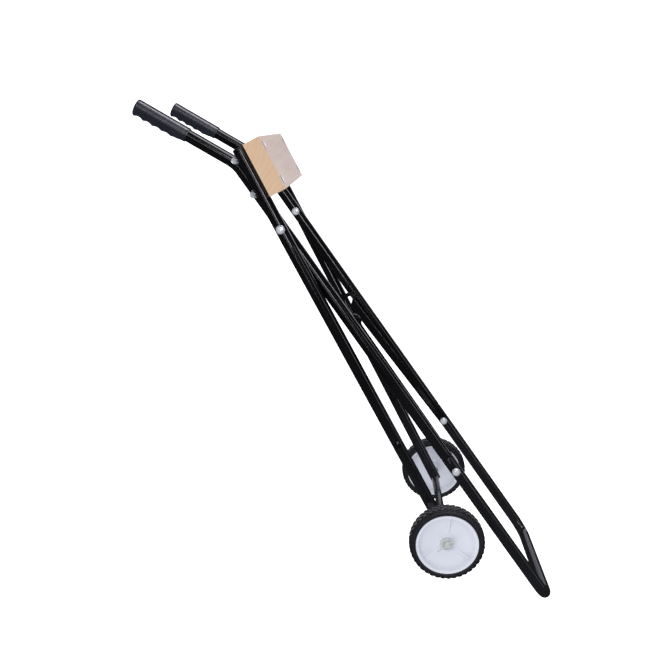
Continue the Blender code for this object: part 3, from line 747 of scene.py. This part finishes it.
def main_hardware(label, side):
    """Pivot and foot bolts with their nuts, washers and spacers."""
    tube_outside = SIDE_Y + TUBE + GAP
    tube_inside = SIDE_Y - TUBE - GAP
    through_bolt("pivot", 0, tube_inside, LEG_Y + TUBE + GAP, label, side)
    spacer = ring_mesh("spacer", BOLT + GAP, PIVOT_SPACER_RADIUS, tube_outside, tube_outside + FRAME_SPACING)
    fine("pivot_spacer_" + label, spacer, MAIN @ outward(side), "main_frame", "black_plastic", PLASTIC)

    washer_high = BRACE_FACE_Y - BRACE_THICKNESS - GAP
    washer_low = washer_high - WASHER_HEIGHT
    through_bolt("foot", FOOT_BOLT_AT, washer_low - GAP, tube_outside, label, side)
    at_foot = MAIN @ shift(FOOT_BOLT_AT, 0, 0) @ outward(side)
    washer = ring_mesh("washer", BOLT + GAP, WASHER_RADIUS, washer_low, washer_high)
    fine("foot_washer_" + label, washer, at_foot, "main_frame", "zinc", ZINC)
    spacer = ring_mesh("spacer", BOLT + GAP, BRACE_SPACER_RADIUS, BRACE_FACE_Y + GAP, tube_inside)
    fine("brace_spacer_" + label, spacer, at_foot, "main_frame", "black_plastic", PLASTIC)


def leg_y(at):
    """Distance of the leg's centre line from the cart's middle, at a distance along the leg."""
    if at <= CRANK_AT:
        return LEG_Y
    return LEG_Y + (AXLE_LEG_Y - LEG_Y) * (at - CRANK_AT) / (AXLE_AT - CRANK_AT)


def leg_point(at, side):
    return Vector((at, side * leg_y(at), 0))


def leg_tube(label, side):
    """Leg with its crank, and the plug in its upper end."""
    ends = (LEG_TOP_AT + PLUG_FLANGE + GAP, CRANK_AT, LEG_END_AT)
    points = densified(arc_path([leg_point(at, side) for at in ends], [CRANK_RADIUS], steps=8))
    fine("leg_tube_" + label, tube_mesh("leg_tube", points), LEGS, "leg_frame", "black_paint", PAINT)
    stem = TUBE - WALL - GAP
    profile = list(reversed(dome_profile(TUBE, PLUG_DOME, PLUG_FLANGE - PLUG_DOME, 5)))
    profile += [(TUBE, PLUG_EDGE), (TUBE - PLUG_EDGE, 0), (stem, 0), (stem, PLUG_EDGE - PLUG_DEPTH),
                (stem - 0.0006, -PLUG_DEPTH), (0, -PLUG_DEPTH)]
    profile[0] = (0, profile[0][1])
    top = shift(*(leg_point(LEG_TOP_AT, side) + Vector((PLUG_FLANGE, 0, 0))))
    plug = turned("plug", profile, 40)
    fine("top_plug_" + label, plug, LEGS @ top @ turn(0, -pi / 2), "leg_frame", "black_plastic", PLASTIC)


def transom_block():
    size = (BLOCK_HEIGHT, 2 * BLOCK_HALF_LENGTH, BLOCK_THICKNESS)
    where = LEGS @ shift(LEG_TOP_AT + BLOCK_HEIGHT / 2, 0, TUBE + GAP + BLOCK_THICKNESS / 2)
    fine("transom_block", box_mesh("block", size, edge=BLOCK_EDGE), where, "leg_frame", "wood", WOOD)


def block_hardware(label, side):
    """The two bolts that hold the block on one leg, with their washers and nuts behind the leg."""
    front = TUBE + GAP + BLOCK_THICKNESS + GAP
    washer_top = -TUBE - GAP
    nut_top = washer_top - WASHER_HEIGHT - GAP
    for row, at in zip(("upper", "lower"), BLOCK_BOLTS_AT):
        tag = row + "_" + label
        where = LEGS @ shift(*leg_point(at, side))
        bolt = bolt_mesh("bolt", front - nut_top, NUT_HEIGHT + BLOCK_BOLT_BEYOND_NUT, tall=FLAT_HEAD_SHARE)
        washer = ring_mesh("washer", BOLT + GAP, WASHER_RADIUS, washer_top - WASHER_HEIGHT, washer_top)
        fine("block_bolt_" + tag, bolt, where @ shift(0, 0, front), "leg_frame", "zinc", ZINC)
        fine("block_washer_" + tag, washer, where, "leg_frame", "zinc", ZINC)
        under = where @ shift(0, 0, nut_top) @ turn(pi, 0)
        fine("block_nut_" + tag, nut_mesh("nut"), under, "leg_frame", "zinc", ZINC)


def latch_stud(label, side):
    """Stud that the open brace hooks on to, and its clip. Both are black, as in the photo."""
    clip_high = BRACE_FACE_Y - BRACE_THICKNESS - GAP
    head_y = leg_y(LATCH_AT) + TUBE + LATCH_HEAD_GAP
    stud = bolt_mesh("stud", head_y - clip_high, LATCH_TAIL, head=LATCH_HEAD_RADIUS, shank=LATCH_RADIUS)
    where = LEGS @ shift(LATCH_AT, side * head_y, 0) @ outward(side)
    fine("latch_stud_" + label, stud, where, "leg_frame", "zinc", PAINT)
    clip_low = clip_high - CLIP_THICKNESS
    clip = ring_mesh("clip", LATCH_RADIUS + GAP, CLIP_RADIUS, clip_low, clip_high, soft=2 * EDGE)
    where = LEGS @ shift(LATCH_AT, 0, 0) @ outward(side)
    fine("latch_clip_" + label, clip, where, "leg_frame", "zinc", PAINT)


def axle_pieces():
    """Tube between the wheels and the rod through it."""
    ends = [Vector((AXLE_AT, y, 0)) for y in (-AXLE_TUBE_END, AXLE_TUBE_END)]
    wall = AXLE_TUBE - AXLE_ROD - AXLE_CLEARANCE
    fine("axle_tube", tube_mesh("axle_tube", densified(ends), radius=AXLE_TUBE, wall=wall), LEGS,
         "leg_frame", "black_paint", PAINT)
    half = [(0, ROD_END), (AXLE_ROD - ROD_EDGE, ROD_END), (AXLE_ROD, ROD_END - ROD_EDGE)]
    profile = half + [(radius, -height) for radius, height in reversed(half)]
    rod = turned("axle_rod", profile, 40)
    fine("axle_rod", rod, LEGS @ shift(AXLE_AT, 0, 0) @ outward(1), "leg_frame", "zinc", DULL_PLATE)


def pin_mesh():
    """Bent wire pin along X with its eye at -X."""
    points = [Vector((PIN_TIP * (1 - k / 12) + PIN_EYE_AT * k / 12, 0, 0)) for k in range(12)]
    points += [Vector((along, 0, aside)) for along, aside in PIN_EYE]
    sides = 16
    rows = []
    last = len(points) - 1
    for index in range(last + 1):
        heading = (points[min(index + 1, last)] - points[max(index - 1, 0)]).normalized()
        beside = heading.cross(Vector((0, 1, 0)))
        row = []
        for k in range(sides):
            angle = 2 * pi * k / sides
            row.append(points[index] + (beside * cos(angle) + Vector((0, sin(angle), 0))) * PIN_RADIUS)
        if index in (0, last):
            rim = [points[index] + (spot - points[index]) * 0.6 for spot in row]
            inset = [spot + heading * (0.0004 if index == 0 else -0.0004) for spot in row]
            rows += [rim, inset] if index == 0 else [inset, rim]
        else:
            rows.append(row)
    return mesh_of("pin", *grid(rows))


def wheel_fixings(label, side):
    """Washers on both sides of the wheel, and the pin through the rod's end."""
    where = LEGS @ shift(AXLE_AT, 0, 0) @ outward(side)
    for name, low, radius, material in (
            ("inner", AXLE_TUBE_END + GAP, INNER_WASHER_RADIUS, ZINC),
            ("outer", BOSS_FACE_Y + GAP, OUTER_WASHER_RADIUS, DULL_PLATE)):
        washer = ring_mesh("washer", AXLE_ROD + GAP, radius, low, low + WASHER_HEIGHT, steps=64)
        fine(name + "_washer_" + label, washer, where, "leg_frame", "zinc", material)
    at = shift(AXLE_AT, side * (ROD_END - PIN_BELOW_END), 0)
    where = LEGS @ at @ Matrix.Rotation(-PIN_ANGLE, 4, "Y")
    fine("axle_pin_" + label, pin_mesh(), where, "leg_frame", "zinc", DULL_PLATE)


def add_lug(vertices, faces, angle, across, radius, size, height, skew):
    """One tapered tread block on the tyre's crown, its long side turned by skew."""
    start = len(vertices)
    long_side, short_side = size
    for level, share in ((radius, 1.0), (radius + height, TREAD_TAPER)):
        for a, b in ((-1, -1), (1, -1), (1, 1), (-1, 1)):
            u = a * long_side / 2 * share
            v = b * short_side / 2 * share
            along = u * cos(skew) - v * sin(skew)
            beside = u * sin(skew) + v * cos(skew)
            round_at = angle + along / radius
            vertices.append((level * cos(round_at), level * sin(round_at), across + beside))
    a, b, c, d, e, f, g, h = range(start, start + 8)
    faces += [(e, f, g, h), (a, b, f, e), (b, c, g, f), (c, d, h, g), (d, a, e, h), (d, c, b, a)]


def carcass_radius(across):
    """Radius of the tyre under its blocks, at a distance across from its middle plane."""
    return WHEEL_RADIUS - TYRE_DROP - TYRE_ROUNDING * abs(across / (WHEEL_WIDTH / 2)) ** 4


def tyre_mesh():
    """Turned carcass with rows of tread blocks; every second row is half a block further round."""
    half = WHEEL_WIDTH / 2
    crown = [(carcass_radius(half * 0.9 * k / 9), half * 0.9 * k / 9) for k in range(-9, 10)]
    wall = [(radius, half - inset) for radius, inset in TYRE_SIDE]
    profile = [(radius, -height) for radius, height in wall] + crown + list(reversed(wall))
    rows = [circle(radius, height, TYRE_STEPS) for radius, height in profile]
    vertices, faces = grid(rows, loop_rows=True)
    for index, (across, long_side, short_side, tall) in enumerate(TREAD_ROWS):
        odd = index % 2
        skew = TREAD_SKEW * (1 - 2 * odd) if abs(across) < SKEWED_WITHIN else 0.0
        for k in range(TREAD_COUNT):
            angle = 2 * pi * (k + 0.5 * odd) / TREAD_COUNT
            add_lug(vertices, faces, angle, across, carcass_radius(across) - TREAD_SUNK,
                    (long_side, short_side), tall, skew)
    mesh = bpy.data.meshes.new("tyre")
    mesh.from_pydata(vertices, [], faces)
    return mesh


def smooth(value, low, high):
    """0 at low and 1 at high, with soft ends."""
    t = min(max((value - low) / (high - low), 0.0), 1.0)
    return t * t * (3 - 2 * t)


def rib_at(radius, angle):
    """Share of the hub rib's height at a point of the hub's face."""
    ends = smooth(radius, *RIB_INNER_SPAN) * smooth(radius, *RIB_OUTER_SPAN)
    aside = radius * min(abs((angle - start + pi) % (2 * pi) - pi) for start in RIB_ANGLES)
    return ends * (1.0 - smooth(aside, *RIB_SIDE_SPAN))


def hub_mesh():
    """Dished disc as two polar sheets joined at rim and bore, with three ribs on its outer side."""
    half = WHEEL_WIDTH / 2
    boss_face = half - HUB_DISH
    bore = BUSH_RADIUS + GAP

    def front(radius, angle):
        height = DISH_HEIGHT + DISH_RISE * smooth(radius, *DISH_SPAN)
        height += (half - RIM_BELOW_FACE - height) * smooth(radius, *RIM_SPAN)
        height += (boss_face - height) * smooth(radius, *BOSS_SPAN)
        return height + (RIB_HEIGHT + RIB_RISE * smooth(radius, *RIB_RISE_SPAN)) * rib_at(radius, angle)

    radii = [bore, bore + 0.0004, 0.0120, 0.0150, 0.0163, 0.0170, 0.0178, 0.0186, 0.0194, 0.0202, 0.0215,
             0.0232, 0.0240]
    radii += [0.0240 + 0.0016 * k for k in range(1, 21)]
    radii += [0.0572, 0.0580, 0.0588, 0.0596, 0.0604, 0.0612, 0.0620, 0.0630, 0.0645, 0.0656, 0.0662,
              HUB_RADIUS]
    angles = set(2 * pi * k / HUB_STEPS for k in range(HUB_STEPS))
    for start in RIB_ANGLES:
        for line in range(-RIB_LINES, RIB_LINES + 1):
            angles.add((start + RIB_LINE_STEP * line / RIB_LINE_RADIUS) % (2 * pi))
    angles = sorted(angles)
    rows = []
    for radius in radii:
        rounding = RIM_EDGE if radius == HUB_RADIUS else 0.0
        rows.append([(radius * cos(a), radius * sin(a), front(min(radius, RIM_FLAT_FROM), a) - rounding)
                     for a in angles])
    back = [(HUB_RADIUS, -half + 0.0016), (HUB_RADIUS - 0.0006, -half + 0.0010),
            (HUB_RADIUS - 0.0034, -half + 0.0010), (HUB_RADIUS - 0.0040, -half + 0.0018),
            (HUB_RADIUS - 0.0066, -0.0008), (HUB_RADIUS - 0.0080, 0.0),
            (BOSS_RADIUS + 0.0012, 0.0), (BOSS_RADIUS, -0.0012), (BOSS_RADIUS, -half + 0.0006),
            (BOSS_RADIUS - 0.0006, -half), (bore + 0.0004, -half), (bore, -half + 0.0004)]
    rows += [[(radius * cos(a), radius * sin(a), height) for a in angles] for radius, height in back]
    return mesh_of("hub", *grid(rows, loop_rows=True))


def wheel(label, side):
    where = LEGS @ shift(AXLE_AT, side * WHEEL_Y, 0) @ outward(side)
    body = label + "_wheel"
    half = WHEEL_WIDTH / 2
    bush = ring_mesh("bush", AXLE_ROD + GAP, BUSH_RADIUS, -half, half - HUB_DISH)
    fine("tyre_" + label, tyre_mesh(), where, body, "tyre_rubber", TYRE, sharp=40)
    fine("hub_" + label, hub_mesh(), where, body, "white_plastic", HUB, sharp=60)
    fine("bush_" + label, bush, where, body, "black_plastic", PLASTIC)


def approach_angle():
    """Direction in the brace's plane in which the latch stud leaves the notch, as in part.py."""
    fold = MAIN.to_3x3().col[0].angle(LEGS.to_3x3().col[0])
    reach, arm, bar = FOOT_BOLT_AT, LATCH_AT, BRACE_LENGTH
    leg_open = acos((reach ** 2 + arm ** 2 - bar ** 2) / (2 * reach * arm))
    brace_open = acos((reach ** 2 + bar ** 2 - arm ** 2) / (2 * reach * bar))
    step = radians(2)
    leg_angle = leg_open - step
    brace_angle = brace_open - brace_open / (leg_open - fold) * step
    stud = Vector((reach - arm * cos(leg_angle), arm * sin(leg_angle)))
    along = stud.dot(Vector((cos(brace_angle), sin(brace_angle)))) - bar
    aside = stud.dot(Vector((-sin(brace_angle), cos(brace_angle))))
    return atan2(aside, along)


def cutter(name, mesh, matrix):
    """Helper object for the brace's cuts, deleted afterwards."""
    item = bpy.data.objects.new(name, mesh)
    SCENE.collection.objects.link(item)
    item.matrix_world = matrix
    return item


def brace(label, side):
    """Flat bar with a round eye; the notch is cut by a hole and two slots, then all edges are softened."""
    half = BRACE_WIDTH / 2
    flare = asin(half / HOOK_RADIUS)
    outline = []
    for step in range(41):
        angle = (flare - pi) + 2 * (pi - flare) * step / 40
        outline.append((BRACE_LENGTH + HOOK_RADIUS * cos(angle), HOOK_RADIUS * sin(angle)))
    for step in range(21):
        angle = pi / 2 + pi * step / 20
        outline.append((half * cos(angle), half * sin(angle)))
    y = side * (BRACE_FACE_Y - BRACE_THICKNESS / 2)
    low, high = y - BRACE_THICKNESS / 2, y + BRACE_THICKNESS / 2
    count = len(outline)
    vertices = [(x, low, z) for x, z in outline] + [(x, high, z) for x, z in outline]
    faces = [tuple(range(count)), tuple(reversed(range(count, 2 * count)))]
    faces += [(k, (k + 1) % count, count + (k + 1) % count, count + k) for k in range(count)]
    where = brace_frame(label)
    bar = cutter("bar", mesh_of("brace", vertices, faces), where)
    notch = NOTCH_WIDTH / 2
    eye = turned("eye", [(0, -CUT_REACH), (notch, -CUT_REACH), (notch, CUT_REACH), (0, CUT_REACH)], 40)
    tools = [cutter("eye", eye, where @ shift(BRACE_LENGTH, y, 0) @ outward(side))]
    for angle in (MOUTH_ANGLE, approach_angle()):
        slot = box_mesh("slot", (2 * HOOK_RADIUS, 2 * CUT_REACH, NOTCH_WIDTH), (HOOK_RADIUS, 0, 0))
        opening = Matrix.Rotation(-angle, 4, "Y")
        tools.append(cutter("slot", slot, where @ shift(BRACE_LENGTH, y, 0) @ opening))
    for tool in tools:
        step = bar.modifiers.new("cut", "BOOLEAN")
        step.operation = "DIFFERENCE"
        step.solver = "EXACT"
        step.object = tool
    bevel = bar.modifiers.new("edges", "BEVEL")
    bevel.width = BRACE_EDGE
    bevel.segments = 2
    bevel.limit_method = "ANGLE"
    bevel.angle_limit = radians(40)
    bpy.context.view_layer.update()
    shown = bar.evaluated_get(bpy.context.evaluated_depsgraph_get())
    mesh = bpy.data.meshes.new_from_object(shown)
    for item in [bar] + tools:
        bpy.data.objects.remove(item, do_unlink=True)
    mesh.materials.clear()
    fine("brace_" + label, mesh, where, label + "_brace", "black_paint", PAINT, sharp=40)


foot_loop()
transom_block()
axle_pieces()
for label, side in SIDES:
    side_tube(label, side)
    grip_piece(label, side)
    main_hardware(label, side)
    leg_tube(label, side)
    block_hardware(label, side)
    latch_stud(label, side)
    wheel_fixings(label, side)
    wheel(label, side)
    brace(label, side)

# ---------------------------------------------------------------- floor, light and camera

SCENE.view_settings.view_transform = "Standard"

# The floor lies lower than z = 0, so that it doesn't hide the wheels when the legs are folded out.
# It glows a little, more so to the camera, which keeps the ground as white as the photo's.
FLOOR_REACH = 40.0
FLOOR_DROP = 0.45
FLOOR_GLOW = 0.50
FLOOR_GLOW_SEEN = 0.40

floor_corners = [(x * FLOOR_REACH, y * FLOOR_REACH, 0) for x, y in ((-1, -1), (1, -1), (1, 1), (-1, 1))]
floor_mesh = bpy.data.meshes.new("floor")
floor_mesh.from_pydata(floor_corners, [], [(0, 1, 2, 3)])
floor = bpy.data.objects.new("floor", floor_mesh)
floor.location.z = -FLOOR_DROP
SCENE.collection.objects.link(floor)
floor.visible_glossy = False
white = Build("white_floor", Roughness=0.9, Specular_IOR_Level=0.0)
for socket, value in (("Base Color", (0.92, 0.92, 0.93, 1)), ("Emission Color", (1, 1, 1, 1))):
    white.shader.inputs[socket].default_value = value
seen_directly = white.nodes.new("ShaderNodeLightPath").outputs["Is Camera Ray"]
extra_glow = white.maths("MULTIPLY", seen_directly, FLOOR_GLOW_SEEN)
white.set("Emission Strength", white.maths("ADD", extra_glow, FLOOR_GLOW))
floor_mesh.materials.append(white.material)

world = bpy.data.worlds.new("studio")
SCENE.world = world
world.use_nodes = True
nodes, links = world.node_tree.nodes, world.node_tree.links
path = nodes.new("ShaderNodeLightPath")
output = nodes["World Output"]


def sky(colour, strength):
    """World background shader of one colour."""
    node = nodes.new("ShaderNodeBackground")
    node.inputs["Color"].default_value = (*colour, 1)
    node.inputs["Strength"].default_value = strength
    return node.outputs["Background"]


def choose(factor, first, second):
    """The first shader, or the second where the factor is 1."""
    node = nodes.new("ShaderNodeMixShader")
    links.new(factor, node.inputs[0])
    links.new(first, node.inputs[1])
    links.new(second, node.inputs[2])
    return node.outputs["Shader"]


soft = sky((1.0, 1.0, 1.0), 0.80)
mirrored = sky((0.90, 0.92, 1.0), 0.022)
seen = sky((1.0, 1.0, 1.0), 1.15)
lit = choose(path.outputs["Is Glossy Ray"], soft, mirrored)
links.new(choose(path.outputs["Is Camera Ray"], lit, seen), output.inputs["Surface"])


def softbox(name, place_at, target, size, radiance, colour=(1, 1, 1), mirror_only=False):
    """Rectangular light; mirror_only ones are seen in gloss and add nothing to flat faces."""
    data = bpy.data.lights.new(name, "AREA")
    data.shape = "RECTANGLE"
    data.size, data.size_y = size
    data.energy = radiance * pi * size[0] * size[1]
    data.color = colour
    item = bpy.data.objects.new(name, data)
    SCENE.collection.objects.link(item)
    item.location = place_at
    item.rotation_euler = (Vector(target) - Vector(place_at)).to_track_quat("-Z", "Y").to_euler()
    item.visible_diffuse = not mirror_only
    return item


LILAC = (0.94, 0.90, 1.0)
LAVENDER = (0.86, 0.85, 1.0)
softbox("handle_strip", (-2.3, -0.12, 2.4), (-2.3, -0.12, 0.0), (1.6, 1.1), 8.5, LILAC, mirror_only=True)
softbox("mid_strip", (-0.6, -2.20, 1.05), (-0.6, -0.1, 0.1), (1.5, 0.30), 12.0, LILAC, mirror_only=True)
softbox("high_strip", (0.7, -1.00, 2.20), (0.7, -0.1, 0.1), (1.1, 0.34), 2.6, LILAC, mirror_only=True)
softbox("end_strip", (1.8, -0.60, 2.30), (1.8, -0.1, 0.1), (1.1, 0.34), 1.2, LILAC, mirror_only=True)
softbox("backdrop", (-0.5, 2.6, 0.90), (-0.3, 0.0, 0.15), (2.0, 2.2), 1.0, LAVENDER, mirror_only=True)
softbox("rear_strip", (-0.2, 1.9, 1.9), (-0.2, 0.0, 0.1), (3.2, 0.4), 2.5, LILAC, mirror_only=True)
softbox("front_strip", (-0.8, -2.6, 0.09), (-0.8, 0.0, 0.09), (2.6, 0.14), 6.0, LILAC, mirror_only=True)
softbox("key", (-1.4, -1.6, 2.6), (0.0, 0.0, 0.1), (1.4, 1.4), 2.2)
top = softbox("top_fill", (-0.3, 0.5, 2.8), (-0.3, 0.0, 0.0), (2.5, 1.6), 1.1)
top.visible_glossy = False

# The photo's view: place, turn in degrees, and lens in millimetres.
CAMERA_PLACE = (-0.409325, -1.917170, 0.392791)
CAMERA_TURN = (72.14173, -58.17367, 5.50390)
CAMERA_LENS = 48.18

camera_data = bpy.data.cameras.new("camera")
camera_data.sensor_width = 36
camera_data.lens = CAMERA_LENS
camera_data.clip_end = 200
camera = bpy.data.objects.new("camera", camera_data)
SCENE.collection.objects.link(camera)
camera.location = CAMERA_PLACE
camera.rotation_euler = [radians(angle) for angle in CAMERA_TURN]
SCENE.camera = camera
